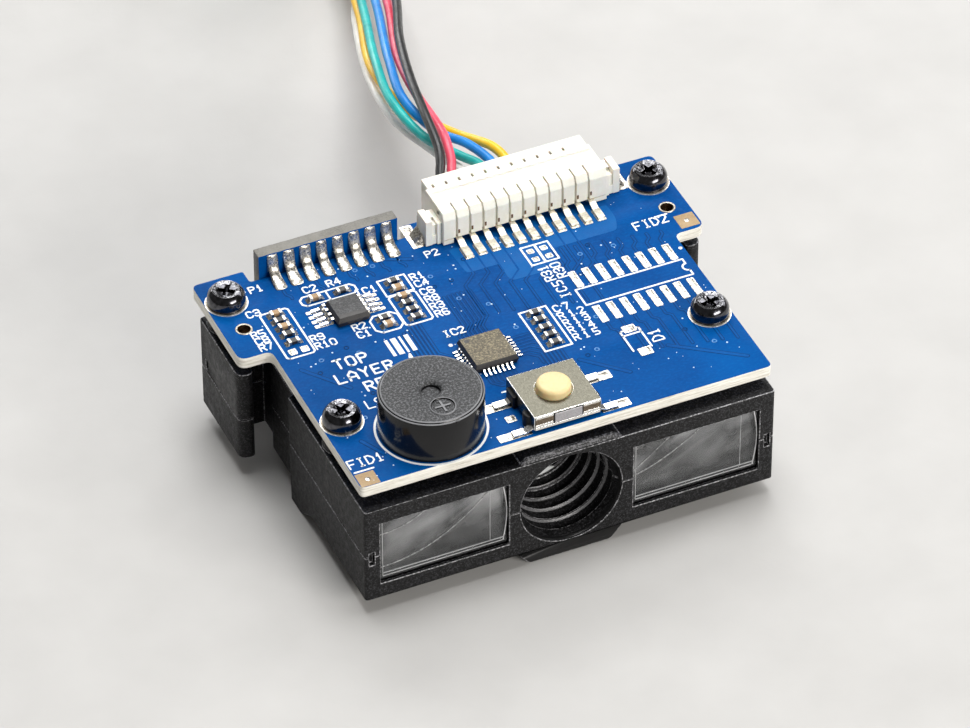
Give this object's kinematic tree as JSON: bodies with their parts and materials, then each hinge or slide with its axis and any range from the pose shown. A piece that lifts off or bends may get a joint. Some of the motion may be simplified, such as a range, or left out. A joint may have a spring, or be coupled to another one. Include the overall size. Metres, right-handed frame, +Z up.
{
  "type": "barcode scan engine",
  "caption": "Barcode scan engine: black two-part housing with lit windows and a viewing tunnel, blue decoder board with button, buzzer and plug, and a coiled wire harness.",
  "frame": {"origin": "centre of the engine footprint, harness left out, on the plane it stands on", "axes": "+X across the board to the right seen from the windows, +Y from the windows to the connector, +Z up from the underside to the board"},
  "size_m": [0.0434, 0.1096, 0.0179],
  "materials": {
    "board_blue": "satin",
    "housing_black": "fine matte",
    "window_clear": "clear",
    "optics_glass": "coated",
    "barrel_black": "matte",
    "led_board_green": "satin",
    "led_red": "gloss",
    "sensor_body": "matte",
    "screw_black": "gloss",
    "buzzer_black": "gloss sides, rough top",
    "buzzer_metal": "satin",
    "copper_wire": "enamelled",
    "switch_metal": "satin",
    "switch_black": "matte",
    "plunger_cream": "satin",
    "nylon_white": "satin",
    "tab_metal": "tinned",
    "chip_grey": "matte",
    "wire_black": "satin",
    "wire_red": "satin",
    "wire_blue": "satin",
    "wire_teal": "satin",
    "wire_yellow": "satin",
    "wire_white": "satin",
    "harness_mixed": "satin"
  },
  "bodies": {
    "engine": {"main_board": "board_blue", "sensor_board": "board_blue", "upper_housing": "housing_black", "lower_housing": "housing_black", "window_left": "window_clear", "window_right": "window_clear", "lens_barrel": "barrel_black", "lens_front": "optics_glass", "lens_rear": "optics_glass", "aperture_stop": "barrel_black", "retaining_ring": "barrel_black", "sensor_package": "sensor_body", "sensor_glass": "optics_glass", "led_board_left": "led_board_green", "led_board_right": "led_board_green", "led_left_inner": "led_red", "led_left_outer": "led_red", "led_right_inner": "led_red", "led_right_outer": "led_red", "board_screw_front_left": "screw_black", "board_screw_front_right": "screw_black", "board_screw_rear_left": "screw_black", "board_screw_rear_right": "screw_black", "buzzer_case": "buzzer_black", "buzzer_base": "buzzer_black", "buzzer_magnet": "buzzer_metal", "buzzer_coil": "copper_wire", "buzzer_diaphragm": "buzzer_metal", "switch_base": "switch_black", "switch_cover": "switch_metal", "switch_dome": "switch_metal", "header_housing": "nylon_white", "header_tab_left": "tab_metal", "header_tab_right": "tab_metal", "plug_housing": "nylon_white", "decoder_chip": "chip_grey", "amplifier_chip": "chip_grey", "wire_black": "wire_black", "wire_red": "wire_red", "wire_blue": "wire_blue", "wire_teal": "wire_teal", "wire_yellow": "wire_yellow", "wire_white": "wire_white", "harness_coil": "harness_mixed", "harness_tail": "harness_mixed", "harness_tie": "nylon_white", "harness_connector": "nylon_white"},
    "plunger": {"switch_plunger": "plunger_cream"}
  },
  "joints": [
    {"name": "button_press", "type": "slide", "parent": "engine", "child": "plunger", "axis": [0, 0, -1], "range_m": [0, 0.00025], "stiffness_N_per_m": 1500, "springref_m": -0.0002}
  ]
}
